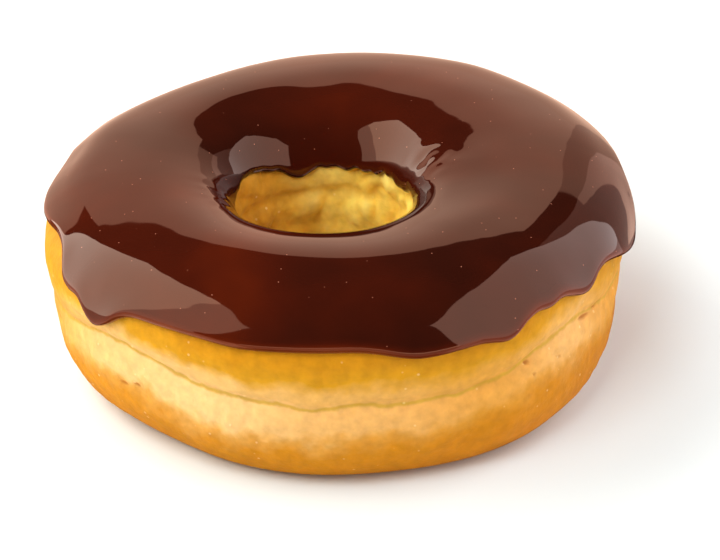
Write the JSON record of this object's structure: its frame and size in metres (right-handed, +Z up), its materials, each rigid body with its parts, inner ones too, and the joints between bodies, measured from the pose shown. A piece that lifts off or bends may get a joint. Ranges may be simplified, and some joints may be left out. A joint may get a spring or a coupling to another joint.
{
  "type": "chocolate dipped ring doughnut",
  "caption": "Fried yeast ring doughnut with a round hole, a pale crease round its side, and a glossy coat of chocolate icing with an uneven dripping edge over its top.",
  "frame": {"origin": "under the middle of the doughnut's outline, on the surface it rests on", "axes": "+Z up through the hole, -Y towards the front that the picture shows, +X to the right of that front"},
  "size_m": [0.0955, 0.093, 0.0353],
  "materials": {
    "dough": "soft fried crust, golden to orange-brown, with a pale band",
    "chocolate_icing": "wet-looking dark chocolate gloss"
  },
  "bodies": {
    "root": {"dough_ring": "dough", "chocolate_icing": "chocolate_icing"}
  },
  "joints": []
}
